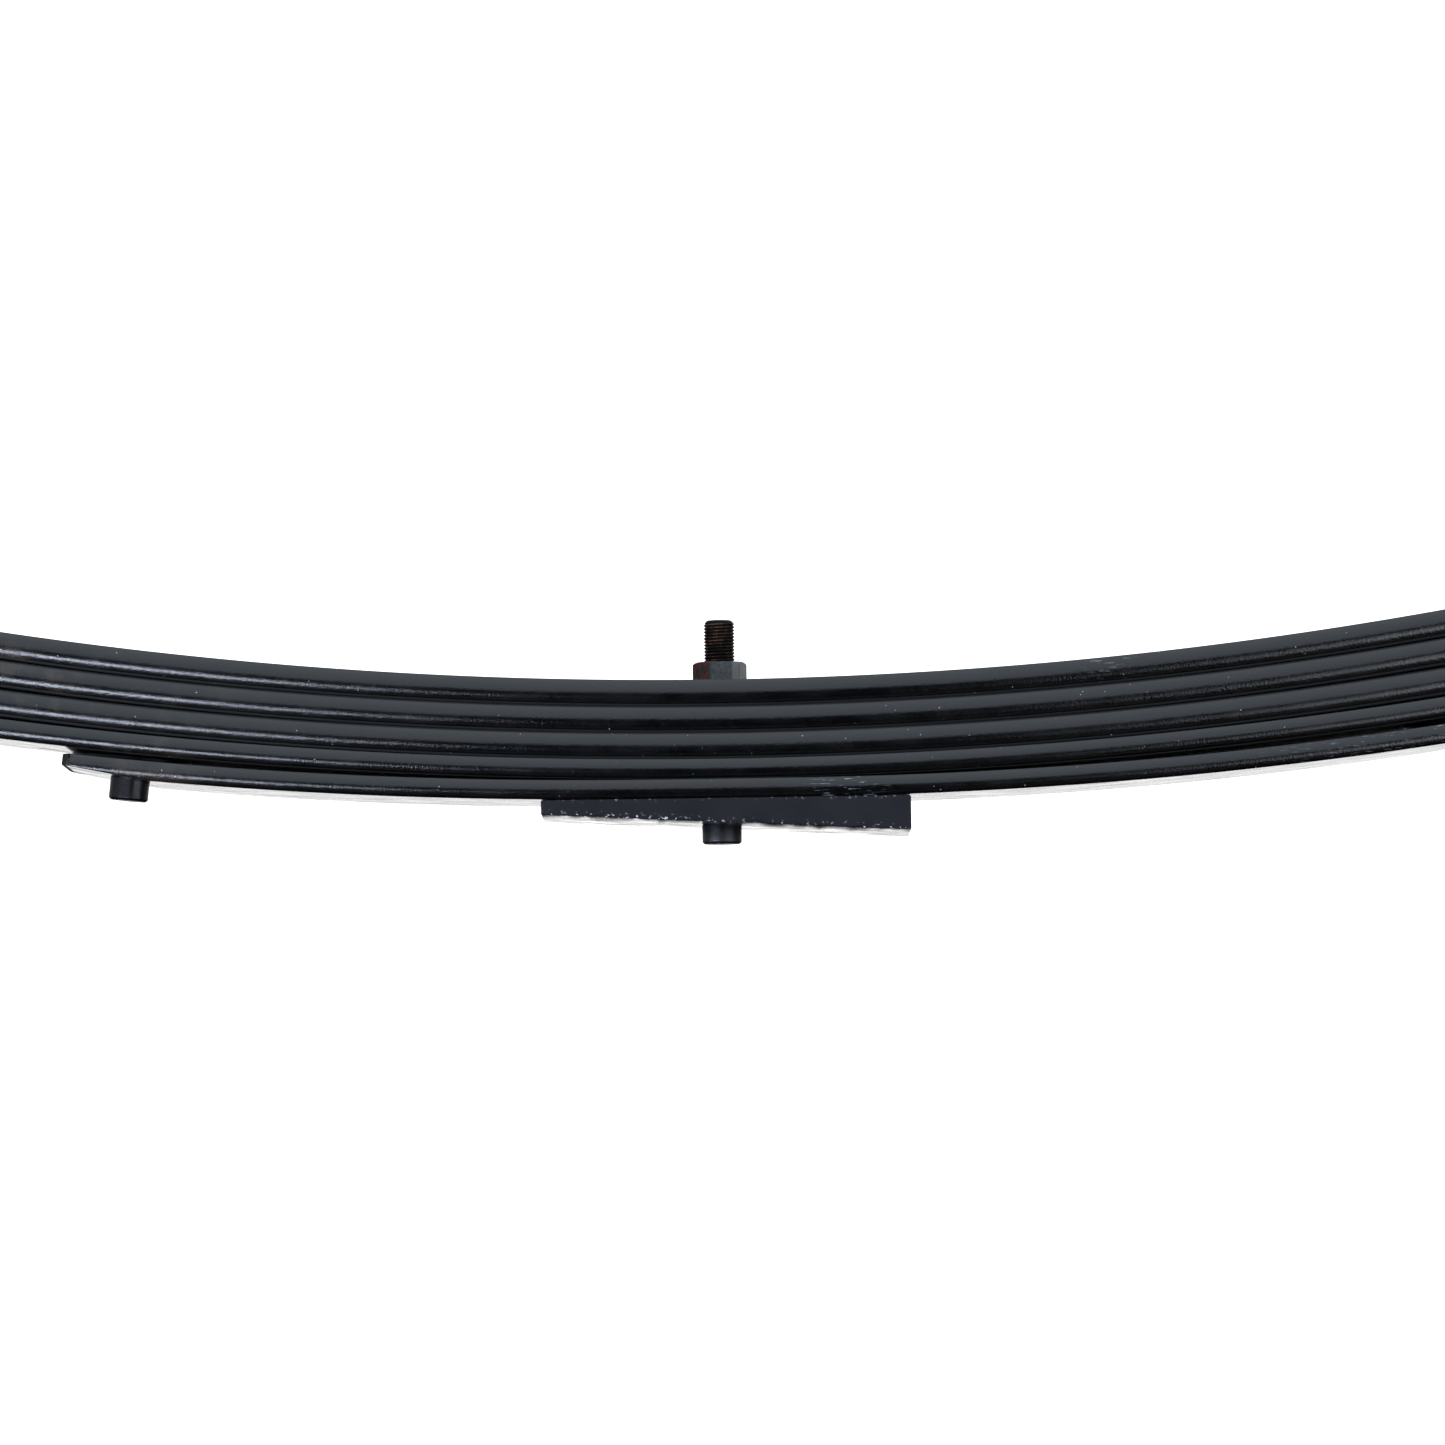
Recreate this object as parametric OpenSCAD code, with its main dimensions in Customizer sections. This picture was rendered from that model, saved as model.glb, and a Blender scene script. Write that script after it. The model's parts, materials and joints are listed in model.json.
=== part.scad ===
// Five-leaf suspension spring with a degree shim, rolled eyes, button tip pads and rebound clips.
// +X runs towards the rear eye, +Y across the leaves, +Z up along the centre bolt.
// The origin is where the centre bolt's axis crosses the shim's lower face, on which the axle sits.

/* [Leaves] */
// Width of every leaf
leaf_w = 70; // [60:1:80]
// Thickness of the upper three leaves
thick_t = 10; // [8:0.5:12]
// Thickness of the lower two leaves
thin_t = 7.5; // [6:0.5:9]
// Radius of the main leaf's upper face
main_r = 1700; // [1500:10:2400]
// Gap that opens between the first and second leaves, 260 mm out
gap_12 = 0.6; // [0.3:0.05:1]
// Gap that opens between the second and third leaves, 260 mm out
gap_23 = 0.9; // [0.3:0.05:1.2]
// Gap that opens between the third and fourth leaves, 260 mm out
gap_34 = 0.9; // [0.3:0.05:1.2]
// Half length of the bottom leaf's flat seat
seat_half = 30; // [10:1:60]
// Radius of the bottom leaf's upper face beyond its seat
bottom_r = 1820; // [1760:10:2100]
// Paint film between clamped leaves
film = 0.05; // [0.02:0.01:0.1]

/* [Lengths from the centre bolt] */
// Front eye
front_eye_x = 560; // [540:5:600]
// Rear eye
rear_eye_x = 690; // [660:5:760]
// Front tips of leaves two to five
front_tips = [515, 435, 340, 251];
// Rear tips of leaves two to five
rear_tips = [625, 515, 410, 310];
// Distance of a tip pad's centre from its leaf's tip
pad_inset = 25; // [24:1:30]
// Front rebound clip
front_clip_x = 359; // [358:1:362]
// Rear rebound clip
rear_clip_x = 432; // [428:1:440]

/* [Eyes and bushes] */
// Bore radius of a rolled eye
eye_r = 18; // [15:0.5:20]
// Angle that the eye's roll turns through
eye_wrap = 306; // [270:1:306]
// Outer radius of the crush sleeve
sleeve_r = 10; // [9:0.5:12]
// Bore radius of the crush sleeve
sleeve_bore_r = 7.1; // [6:0.1:8]
// Length of the crush sleeve
sleeve_len = 84; // [80:1:90]
// Radius of a bush's flange
flange_r = 23; // [20:0.5:25]
// Thickness of a bush's flange
flange_t = 4.7; // [3:0.1:6]

/* [Shim and centre bolt] */
// Shim thickness at the bolt
shim_t = 9.3; // [8:0.1:12]
// Angle of the shim's lower face
shim_angle = 3.08; // [1:0.1:4]
// Shim length towards the front
shim_front = 68.8; // [60:0.1:80]
// Shim length towards the rear
shim_rear = 72.1; // [60:0.1:80]
// Shank radius of the centre bolt
bolt_r = 5.9; // [5:0.1:6]
// Radius of the round head that locates the axle
head_r = 7.6; // [7:0.1:9]
// Depth of the head below the shim
head_depth = 7.2; // [4:0.1:8]
// Height of the stud above the main leaf
stud_h = 24.5; // [18:0.5:30]
// Nut size across flats
nut_af = 18.8; // [18:0.1:19]
// Nut height
nut_h = 8.2; // [7:0.1:10]
// Turn of the nut about the bolt
nut_turn = -15.7; // [-30:0.1:30]

/* [Tip pads and clips] */
// Radius of a tip pad's disc
pad_r = 23; // [20:0.5:24]
// Radius of a tip pad's button
button_r = 7.6; // [6:0.1:8]
// Button's length below its leaf
button_drop = 7.2; // [5:0.5:10]
// Width of a clip strap along the leaf
strap_w = 32; // [25:1:32]
// Thickness of a clip strap
strap_t = 5; // [4:0.5:6]
// Side gap between a leaf and the strap
strap_gap = 1.5; // [1:0.1:3]
// Shank radius of a clip bolt
clip_bolt_r = 4.9; // [4:0.1:5]
// Outer radius of a clip's spacer tube
spacer_r = 8; // [7:0.5:10]

/* [Hidden] */
$fn = 96;

// Leaves are counted from the main leaf, 0, down to the bottom leaf, 4.
t = [thick_t, thick_t, thick_t, thin_t, thin_t];
gap_x = 260;
gaps = [gap_12, gap_23, gap_34];
clear = 0.3;       // between pieces that move apart
snug = 0.1;        // between a bush and its eye
running = 0.05;    // between a sleeve and its bush
edge_k = 0.86;     // side radius of the rolled bar, in thicknesses
hole_gap = 0.25;   // round a button or rivet

// Round recess in the shim, just deep enough to give the head's shoulder a level seat
recess_r = head_r + 1;
recess_z = recess_r * tan(shim_angle);

// Height of each leaf's lower face at the bolt
function low(i) = i == 4 ? shim_t : low(i + 1) + t[i + 1] + film;
// Radius of each leaf's upper and lower faces
function top_r(i) = i == 0 ? main_r : i == 4 ? bottom_r
    : 1 / (1 / low_r(i - 1) - 2 * gaps[i - 1] / (gap_x * gap_x));
function low_r(i) = top_r(i) + t[i];
// Half length of the flat in the middle of a leaf
function flat(i) = i == 4 ? seat_half : 0;
// Distance past the flat, with its sign
function past(i, x) = sign(x) * max(0, abs(x) - flat(i));
// Slope of a leaf's upper or lower face at x, and that face's height
function slope(i, x, r) = asin(past(i, x) / r);
function top_z(i, x) = low(i) + low_r(i) - sqrt(pow(top_r(i), 2) - pow(past(i, x), 2));
function low_z(i, x) = low(i) + low_r(i) - sqrt(pow(low_r(i), 2) - pow(past(i, x), 2));

stack_top = low(0) + t[0];
eye_turn_r = main_r - eye_r;      // from the main arc's centre to an eye's centre
arc_z = low(0) + low_r(0);
function eye_angle(x) = asin(x / eye_turn_r);
function eye_z(x) = arc_z - eye_turn_r * cos(eye_angle(x));

// Carries its children to a leaf's upper face at x, with X along the leaf and Z square to it.
module on_top(i, x) translate([x, 0, top_z(i, x)]) rotate([0, -slope(i, x, top_r(i)), 0]) children();
module on_low(i, x) translate([x, 0, low_z(i, x)]) rotate([0, -slope(i, x, low_r(i)), 0]) children();

// Section of the rolled bar: flat faces, with sides bulged to a true arc. Thickness lies along X.
module bar_section(w, thick) {
    side_r = edge_k * thick;
    intersection() {
        square([thick, w], center = true);
        union() {
            square([thick, w - 2 * side_r], center = true);
            for (s = [-1, 1]) translate([0, s * (w / 2 - side_r)]) circle(side_r);
        }
    }
}

// Bar curved up about the Y direction. It starts at an angle off the vertical and turns through another.
module curved_bar(i, from, turn)
    translate([0, 0, low(i) + low_r(i)]) rotate([90, 0, 0])
        rotate_extrude(start = from - 90, angle = turn)
            translate([top_r(i) + t[i] / 2, 0]) bar_section(leaf_w, t[i]);

module straight_bar(i, half)
    translate([-half, 0, low(i) + t[i] / 2]) rotate([0, 90, 0]) linear_extrude(2 * half)
        bar_section(leaf_w, t[i]);

// Cuts that thin a leaf's tip from below and bevel its two corners; side is -1 at the front.
module tip_cuts(i, side, tip) {
    taper = 35;
    thinned = 0.4 * t[i];
    bevel_x = 3.2;
    bevel_y = 10;
    start = side * (tip - taper);
    on_low(i, start) rotate([0, -side * atan(thinned / taper), 0])
        translate([side > 0 ? 0 : -2 * taper, -leaf_w, -2 * t[i]]) cube([2 * taper, 2 * leaf_w, 2 * t[i]]);
    for (y = [-1, 1]) to_corner(side, y) translate([0, 0, low(i)]) linear_extrude(leaf_w * 4)
        polygon([
            [tip - bevel_x, leaf_w / 2], [tip - bevel_x, leaf_w], [tip + leaf_w, leaf_w],
            [tip + leaf_w, leaf_w / 2 - bevel_y], [tip, leaf_w / 2 - bevel_y]
        ]);
}

module to_corner(sx, sy) mirror([sx < 0 ? 1 : 0, 0, 0]) mirror([0, sy < 0 ? 1 : 0, 0]) children();

module bolt_hole() translate([0, 0, -leaf_w]) cylinder(r = bolt_r + hole_gap, h = 3 * leaf_w);

module button_hole(i, x) on_top(i, x) cylinder(r = button_r + hole_gap, h = 4 * t[i], center = true);

// One plain leaf, which ends at its own tips and carries a pad near each
module leaf(i) {
    front = front_tips[i - 1];
    rear = rear_tips[i - 1];
    difference() {
        if (flat(i) > 0) union() {
            straight_bar(i, flat(i));
            translate([-flat(i), 0, 0]) curved_bar(i, 0, -asin((front - flat(i)) / top_r(i)));
            translate([flat(i), 0, 0]) curved_bar(i, 0, asin((rear - flat(i)) / top_r(i)));
        } else {
            curved_bar(i, -asin(front / top_r(i)), asin(front / top_r(i)) + asin(rear / top_r(i)));
        }
        bolt_hole();
        tip_cuts(i, -1, front);
        tip_cuts(i, 1, rear);
        button_hole(i, pad_inset - front);
        button_hole(i, rear - pad_inset);
        if (i == 2) {
            rivet_hole(-front_clip_x);
            rivet_hole(rear_clip_x);
        }
    }
}

// Eye rolled upwards from the main leaf's end. It laps the leaf a little, slightly thicker and narrower.
module rolled_eye(x) {
    side = sign(x);
    lap = 6;
    swell = 0.05;
    inset = 0.2;
    translate([x, 0, eye_z(x)]) rotate([90, 0, 0])
        rotate_extrude(start = eye_angle(x) - 90 - side * lap, angle = side * (eye_wrap + lap))
            translate([eye_r + t[0] / 2, 0]) bar_section(leaf_w - 2 * inset, t[0] + 2 * swell);
}

module main_leaf() color("#2b2c30") difference() {
    union() {
        curved_bar(0, -eye_angle(front_eye_x), eye_angle(front_eye_x) + eye_angle(rear_eye_x));
        rolled_eye(-front_eye_x);
        rolled_eye(rear_eye_x);
    }
    bolt_hole();
}

module second_leaf() color("#303136") leaf(1);
module third_leaf() color("#2b2c30") leaf(2);
module fourth_leaf() color("#303136") leaf(3);
module bottom_leaf() color("#2b2c30") leaf(4);

// Revolved centre bolt: round locating head below, threaded stud above
module centre_bolt() color("#3a322e") {
    rim = 1.4;
    end = stack_top + stud_h;
    chamfer = 1.3;
    rotate_extrude() {
        translate([0, rim - head_depth]) square([head_r, head_depth - rim + recess_z]);
        translate([0, -head_depth]) square([head_r - rim, rim]);
        translate([head_r - rim, rim - head_depth]) circle(rim);
        polygon([[0, 0], [bolt_r, 0], [bolt_r, end - chamfer], [bolt_r - chamfer, end], [0, end]]);
    }
}

module hex_prism(af, h) cylinder(r = af / sqrt(3), h = h, $fn = 6);

// Hexagon with its upper corners chamfered
module chamfered_hex(af, h) {
    corner = af / sqrt(3);
    drop = (corner - af / 2) * tan(30);
    intersection() {
        hex_prism(af, h);
        rotate_extrude() polygon([
            [0, 0], [corner + 1, 0], [corner + 1, h - drop - tan(30)], [af / 2, h], [0, h]
        ]);
    }
}

module chamfered_nut(af, h, bore) difference() {
    chamfered_hex(af, h);
    translate([0, 0, -1]) cylinder(r = bore, h = h + 2);
}

module centre_nut() color("#4d4a4a")
    translate([0, 0, stack_top + film]) rotate([0, 0, nut_turn - 90]) chamfered_nut(nut_af, nut_h, bolt_r + running);

// Tapered plate between the bottom leaf and the axle
module degree_shim() color("#26272b") difference() {
    fall = tan(shim_angle);
    top = low(4) - film;
    rotate([90, 0, 0]) linear_extrude(leaf_w, center = true) polygon([
        [-shim_front, top], [shim_rear, top],
        [shim_rear, -shim_rear * fall], [-shim_front, shim_front * fall]
    ]);
    bolt_hole();
    translate([0, 0, recess_z - leaf_w]) cylinder(r = recess_r, h = leaf_w);
}

// Distance from a leaf's upper face at x, square to it, up to the leaf above, and that leaf's slope there
function drop_to_centre(i, x) = low(i - 1) + low_r(i - 1) - top_z(i, x);
function gap_above(i, x, s) = let (
    dz = drop_to_centre(i, x),
    along = x * sin(s) + dz * cos(s)
) along - sqrt(along * along - x * x - dz * dz + pow(low_r(i - 1), 2));
function slope_above(i, x, s) = asin((x - gap_above(i, x, s) * sin(s)) / low_r(i - 1));

// Button pad: a disc between two leaves, and a button that pins it down through the lower one
module tip_pad(i, x) {
    s = slope(i, x, top_r(i));
    sag = pad_r * pad_r / (2 * top_r(i));
    lift = sag + snug;
    disc_t = gap_above(i, x, s) - lift - snug - pad_r * tan(abs(slope_above(i, x, s) - s));
    rim = 0.8;
    color("#17181b") on_top(i, x) rotate_extrude() {
        polygon([
            [0, -t[i] - button_drop], [button_r - rim, -t[i] - button_drop],
            [button_r, rim - t[i] - button_drop], [button_r, lift], [0, lift]
        ]);
        translate([0, lift]) square([pad_r, disc_t]);
    }
}

module eye_bushes(x) color("#1c1c1e") translate([x, 0, eye_z(x)]) for (s = [-90, 90]) rotate([s, 0, 0])
    rotate_extrude() difference() {
        union() {
            translate([0, 1]) square([eye_r - snug, leaf_w / 2]);
            translate([0, leaf_w / 2 + clear]) square([flange_r, flange_t]);
        }
        square([sleeve_r + running, leaf_w]);
    }

module eye_sleeve(x) color("#b9b6ac") translate([x, 0, eye_z(x)]) rotate([90, 0, 0]) difference() {
    cylinder(r = sleeve_r, h = sleeve_len, center = true);
    cylinder(r = sleeve_bore_r, h = sleeve_len + 2, center = true);
}

// Rebound clip. Its frame is the third leaf's lower face, with Z towards the main leaf.
strap_in = leaf_w + 2 * strap_gap;
rivet_r = 4.9;
rivet_cone = 3;
function bundle(x) = top_z(0, x) - low_z(2, x);
function clip_bolt_z(x) = bundle(x) + spacer_r + 2;

module rivet_hole(x) on_low(2, x) {
    cylinder(r = rivet_r + hole_gap, h = 4 * t[2], center = true);
    translate([0, 0, t[2] - rivet_cone]) cylinder(r1 = rivet_r + hole_gap, r2 = rivet_r + 2 * rivet_cone, h = 2 * rivet_cone);
}

// U outline of the bent strap, open at the top
module strap_outline(h) {
    outer = 7;
    inner = outer - strap_t;
    half = strap_in / 2;
    difference() {
        union() {
            translate([-half - strap_t, outer]) square([2 * half + 2 * strap_t, h - outer]);
            translate([outer - half - strap_t, 0]) square([2 * (half + strap_t - outer), outer]);
            for (s = [-1, 1]) translate([s * (half + strap_t - outer), outer]) circle(outer);
        }
        translate([-half, outer]) square([2 * half, h]);
        translate([inner - half, strap_t]) square([2 * (half - inner), outer]);
        for (s = [-1, 1]) translate([s * (half - inner), outer]) circle(inner);
    }
}

module clip_strap(x) color("#2a2b2f") on_low(2, x) {
    bolt_z = clip_bolt_z(x);
    base = -strap_t - clear;
    difference() {
        intersection() {
            translate([-strap_w / 2, 0, base]) rotate([90, 0, 90]) linear_extrude(strap_w)
                strap_outline(bolt_z - base + strap_w);
            rotate([90, 0, 0]) linear_extrude(2 * leaf_w, center = true) {
                translate([-strap_w / 2, base]) square([strap_w, bolt_z - base]);
                translate([0, bolt_z]) circle(strap_w / 2);
            }
        }
        translate([0, 0, bolt_z]) rotate([90, 0, 0]) cylinder(r = clip_bolt_r + hole_gap, h = 2 * leaf_w, center = true);
        cylinder(r = rivet_r + hole_gap, h = 4 * strap_t, center = true);
    }
}

module clip_rivet(x) color("#2a2b2f") on_low(2, x) {
    dome_r = 9;
    dome_h = 4.5;
    under = -strap_t - 2 * clear;
    cylinder(r = rivet_r, h = t[2] - rivet_cone);
    translate([0, 0, under]) cylinder(r = rivet_r, h = -under);
    translate([0, 0, t[2] - rivet_cone]) cylinder(r1 = rivet_r, r2 = rivet_r + rivet_cone - clear, h = rivet_cone - clear);
    sphere_r = (dome_r * dome_r + dome_h * dome_h) / (2 * dome_h);
    intersection() {
        translate([0, 0, under - dome_h + sphere_r]) sphere(sphere_r);
        translate([0, 0, under - dome_h]) cylinder(r = dome_r + 1, h = dome_h);
    }
}

module across_clip(x) on_low(2, x) translate([0, 0, clip_bolt_z(x)]) rotate([90, 0, 0]) children();

clip_half = strap_in / 2 + strap_t;
clip_af = 16;
clip_nut_h = 8;

module clip_bolt(x) color("#8c8a86") across_clip(x) {
    head_h = 6.4;
    spare = 3;
    translate([0, 0, -clip_half - clip_nut_h - spare]) cylinder(r = clip_bolt_r, h = 2 * clip_half + clip_nut_h + spare + 1);
    translate([0, 0, clip_half]) chamfered_hex(clip_af, head_h);
}

module clip_nut(x) color("#8c8a86") across_clip(x)
    translate([0, 0, -clip_half]) mirror([0, 0, 1]) chamfered_nut(clip_af, clip_nut_h, clip_bolt_r + running);

module clip_spacer(x) color("#6f6e6b") across_clip(x) difference() {
    cylinder(r = spacer_r, h = strap_in - clear, center = true);
    cylinder(r = clip_bolt_r + hole_gap, h = strap_in + 1, center = true);
}

function tip(i, side) = side < 0 ? pad_inset - front_tips[i - 1] : rear_tips[i - 1] - pad_inset;

main_leaf();
second_leaf();
third_leaf();
fourth_leaf();
bottom_leaf();
centre_bolt();
centre_nut();
degree_shim();
tip_pad(1, tip(1, -1));  // second_leaf_front_pad
tip_pad(2, tip(2, -1));  // third_leaf_front_pad
tip_pad(3, tip(3, -1));  // fourth_leaf_front_pad
tip_pad(4, tip(4, -1));  // bottom_leaf_front_pad
tip_pad(1, tip(1, 1));  // second_leaf_rear_pad
tip_pad(2, tip(2, 1));  // third_leaf_rear_pad
tip_pad(3, tip(3, 1));  // fourth_leaf_rear_pad
tip_pad(4, tip(4, 1));  // bottom_leaf_rear_pad
eye_bushes(-front_eye_x);  // front_eye_bushes
eye_sleeve(-front_eye_x);  // front_eye_sleeve
eye_bushes(rear_eye_x);  // rear_eye_bushes
eye_sleeve(rear_eye_x);  // rear_eye_sleeve
clip_strap(-front_clip_x);  // front_clip_strap
clip_rivet(-front_clip_x);  // front_clip_rivet
clip_bolt(-front_clip_x);  // front_clip_bolt
clip_spacer(-front_clip_x);  // front_clip_spacer
clip_nut(-front_clip_x);  // front_clip_nut
clip_strap(rear_clip_x);  // rear_clip_strap
clip_rivet(rear_clip_x);  // rear_clip_rivet
clip_bolt(rear_clip_x);  // rear_clip_bolt
clip_spacer(rear_clip_x);  // rear_clip_spacer
clip_nut(rear_clip_x);  // rear_clip_nut
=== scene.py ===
import json
import math

import bmesh
import bpy
from mathutils import Matrix, Vector, noise


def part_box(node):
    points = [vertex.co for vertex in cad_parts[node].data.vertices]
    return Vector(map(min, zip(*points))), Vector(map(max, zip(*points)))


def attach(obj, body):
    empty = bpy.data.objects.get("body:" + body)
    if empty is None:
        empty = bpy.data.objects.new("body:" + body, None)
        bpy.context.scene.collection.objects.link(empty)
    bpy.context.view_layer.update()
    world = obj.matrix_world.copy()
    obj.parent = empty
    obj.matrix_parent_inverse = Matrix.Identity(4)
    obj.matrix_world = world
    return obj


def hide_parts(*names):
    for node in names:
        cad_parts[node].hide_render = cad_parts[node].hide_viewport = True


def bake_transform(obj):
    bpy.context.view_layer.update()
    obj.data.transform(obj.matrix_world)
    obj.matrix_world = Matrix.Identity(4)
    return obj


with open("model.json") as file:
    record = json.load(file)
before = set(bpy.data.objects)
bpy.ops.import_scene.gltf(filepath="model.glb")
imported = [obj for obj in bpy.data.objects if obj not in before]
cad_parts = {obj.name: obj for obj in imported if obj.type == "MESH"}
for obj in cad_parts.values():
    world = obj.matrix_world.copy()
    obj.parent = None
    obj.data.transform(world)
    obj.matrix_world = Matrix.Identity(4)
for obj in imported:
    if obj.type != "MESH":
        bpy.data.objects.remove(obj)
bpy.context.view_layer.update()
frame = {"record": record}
record = frame["record"]

# Lengths are in millimetres, in the part's own frame, and meshes are turned to metres as they are made.
MM = 0.001
MOUNTS = {m["name"]: m for m in record["mounts"]}

# Driving sizes, as in the part's source
LEAVES = ["main_leaf", "second_leaf", "third_leaf", "fourth_leaf", "bottom_leaf"]
LEAF_W = 70.0
THICK = [10.0, 10.0, 10.0, 7.5, 7.5]
MAIN_R = 1700.0
BOTTOM_R = 1820.0
GAPS = [0.6, 0.9, 0.9]
GAP_X = 260.0
SEAT_HALF = 30.0
SIDE_BULGE = 0.86
TIP_TAPER = 35.0
TIP_THINNING = 0.4
TIP_BEVEL_X = 3.2
TIP_BEVEL_Y = 10.0
EYE_R = 18.0
EYE_WRAP = math.radians(306)
PAD_INSET = 25.0
PAD_R = 23.0
BUTTON_R = 7.6
BUTTON_DROP = 7.2
SNUG = 0.1
SHANK_R = 5.9
HEAD_R = 7.6
HEAD_RIM = 1.4
SIDES = {"front": -1, "rear": 1}
CLIP_X = {"front": 359.0, "rear": 432.0}
TIP_X = {"front": [0, 515.0, 435.0, 340.0, 251.0], "rear": [0, 625.0, 515.0, 410.0, 310.0]}

# Each half is cut into three zones, one for each flex joint. The figures are the distances out
# where one zone gives way to the next.
ZONES = {"front": [60.0, 200.0, 375.0, 530.0], "rear": [60.0, 255.0, 455.0, 655.0]}
REACHES = ["inner", "middle", "outer"]


# Geometry of the bent leaves

def box_mm(node):
    low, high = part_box(node)
    return low / MM, high / MM


LOW = [box_mm(leaf)[0].z for leaf in LEAVES]
TOP_R = [MAIN_R]
for gap in GAPS:
    TOP_R.append(1 / (1 / (TOP_R[-1] + THICK[len(TOP_R) - 1]) - 2 * gap / GAP_X**2))
TOP_R.append(BOTTOM_R)
STACK_TOP = LOW[0] + THICK[0]
EYE_TURN_R = MAIN_R - EYE_R


def flat(i):
    return SEAT_HALF if i == 4 else 0.0


def arc_centre_z(i):
    return LOW[i] + TOP_R[i] + THICK[i]


def slope_at(i, x, radius):
    return math.asin(max(0.0, x - flat(i)) / radius)


def face_z(i, x, radius):
    """Height of the leaf's upper or lower face, by its radius, at a distance x out."""
    return arc_centre_z(i) - math.sqrt(radius**2 - max(0.0, x - flat(i)) ** 2)


def top_z(i, x):
    return face_z(i, x, TOP_R[i])


def low_z(i, x):
    return face_z(i, x, TOP_R[i] + THICK[i])


def space_above(i, x):
    """Distance from a leaf's upper face to the leaf above, and that leaf's slope there.

    The distance is taken square to the upper face.
    """
    slope = slope_at(i, x, TOP_R[i])
    radius = TOP_R[i - 1] + THICK[i - 1]
    rise = arc_centre_z(i - 1) - top_z(i, x)
    along = x * math.sin(slope) + rise * math.cos(slope)
    gap = along - math.sqrt(along**2 - x**2 - rise**2 + radius**2)
    return gap, math.asin((x - gap * math.sin(slope)) / radius)


def eye_x(side):
    return abs(MOUNTS[side + "_eye"]["pos_m"][0]) / MM


def tip_angle(i, side):
    """Slope at a leaf's tip, where its thinned lower corner reaches the node's end."""
    low, high = box_mm(LEAVES[i])
    reach = -low.x if side == "front" else high.x
    return math.asin((reach - flat(i)) / (TOP_R[i] + (1 - TIP_THINNING) * THICK[i]))


# Mesh building

def make_object(name, verts, faces, material, sharp=32):
    mesh = bpy.data.meshes.new(name)
    mesh.from_pydata([Vector(v) * MM for v in verts], [], faces)
    mesh.materials.append(material)
    mesh.polygons.foreach_set("use_smooth", [True] * len(mesh.polygons))
    mesh.set_sharp_from_angle(angle=math.radians(sharp))
    obj = bpy.data.objects.new(name, mesh)
    bpy.context.scene.collection.objects.link(obj)
    return obj


def skin(rings, close_ends=True):
    """Faces over rings of the same count of points, each a closed loop, with flat ends."""
    count = len(rings[0])
    verts = [p for ring in rings for p in ring]
    faces = []
    for r in range(len(rings) - 1):
        for k in range(count):
            a, b = r * count + k, r * count + (k + 1) % count
            faces.append((a, b, b + count, a + count))
    if close_ends:
        faces.append(tuple(reversed(range(count))))
        faces.append(tuple(range((len(rings) - 1) * count, len(rings) * count)))
    return verts, faces


def rounded(points, radius, steps=3, limit=20, closed=True):
    """A polygon with its corners sharper than limit degrees turned to arcs."""
    out = []
    count = len(points)
    for k, corner in enumerate(points):
        here = Vector(corner)
        if not closed and k in (0, count - 1):
            out.append(here)
            continue
        before = Vector(points[k - 1]) - here
        after = Vector(points[(k + 1) % count]) - here
        turn = math.pi - before.angle(after, 0)
        if turn < math.radians(limit):
            out.append(here)
            continue
        back = min(radius * math.tan(turn / 2), 0.45 * before.length, 0.45 * after.length)
        start = here + before.normalized() * back
        end = here + after.normalized() * back
        for s in range(steps + 1):
            u = s / steps
            out.append(start * (1 - u) ** 2 + here * 2 * u * (1 - u) + end * u**2)
    return out


def lathe(profile, turns=64):
    """Rings of a closed (radius, height) outline turned about Z, as verts and faces."""
    verts, faces = [], []
    count = len(profile)
    for k in range(turns):
        a = 2 * math.pi * k / turns
        verts += [(r * math.cos(a), r * math.sin(a), z) for r, z in profile]
        other = (k + 1) % turns
        for p in range(count):
            q = (p + 1) % count
            faces.append((k * count + p, other * count + p, other * count + q, k * count + q))
    return verts, faces


def placed(verts, matrix):
    return [matrix @ Vector(v) for v in verts]


def joined(*parts):
    verts, faces = [], []
    for part_verts, part_faces in parts:
        faces += [tuple(v + len(verts) for v in face) for face in part_faces]
        verts += part_verts
    return verts, faces


def fix_normals(obj):
    """Turns every face outwards and merges points that coincide."""
    bm = bmesh.new()
    bm.from_mesh(obj.data)
    bmesh.ops.remove_doubles(bm, verts=bm.verts, dist=1e-7)
    bmesh.ops.recalc_face_normals(bm, faces=bm.faces)
    bm.to_mesh(obj.data)
    bm.free()
    return obj


def set_on_leaf(x, z, slope, side):
    """Frame at a distance x out on one side, with X along the leaf outwards and Z square to it."""
    sign = SIDES[side]
    turn = Matrix.Rotation(-sign * slope, 4, "Y")
    return Matrix.Translation((sign * x, 0, z)) @ turn


def wander(point, size, seed):
    return noise.noise(Vector(point) / size + Vector((seed * 7.3, seed * 3.1, seed * 1.7)))


# Materials

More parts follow.
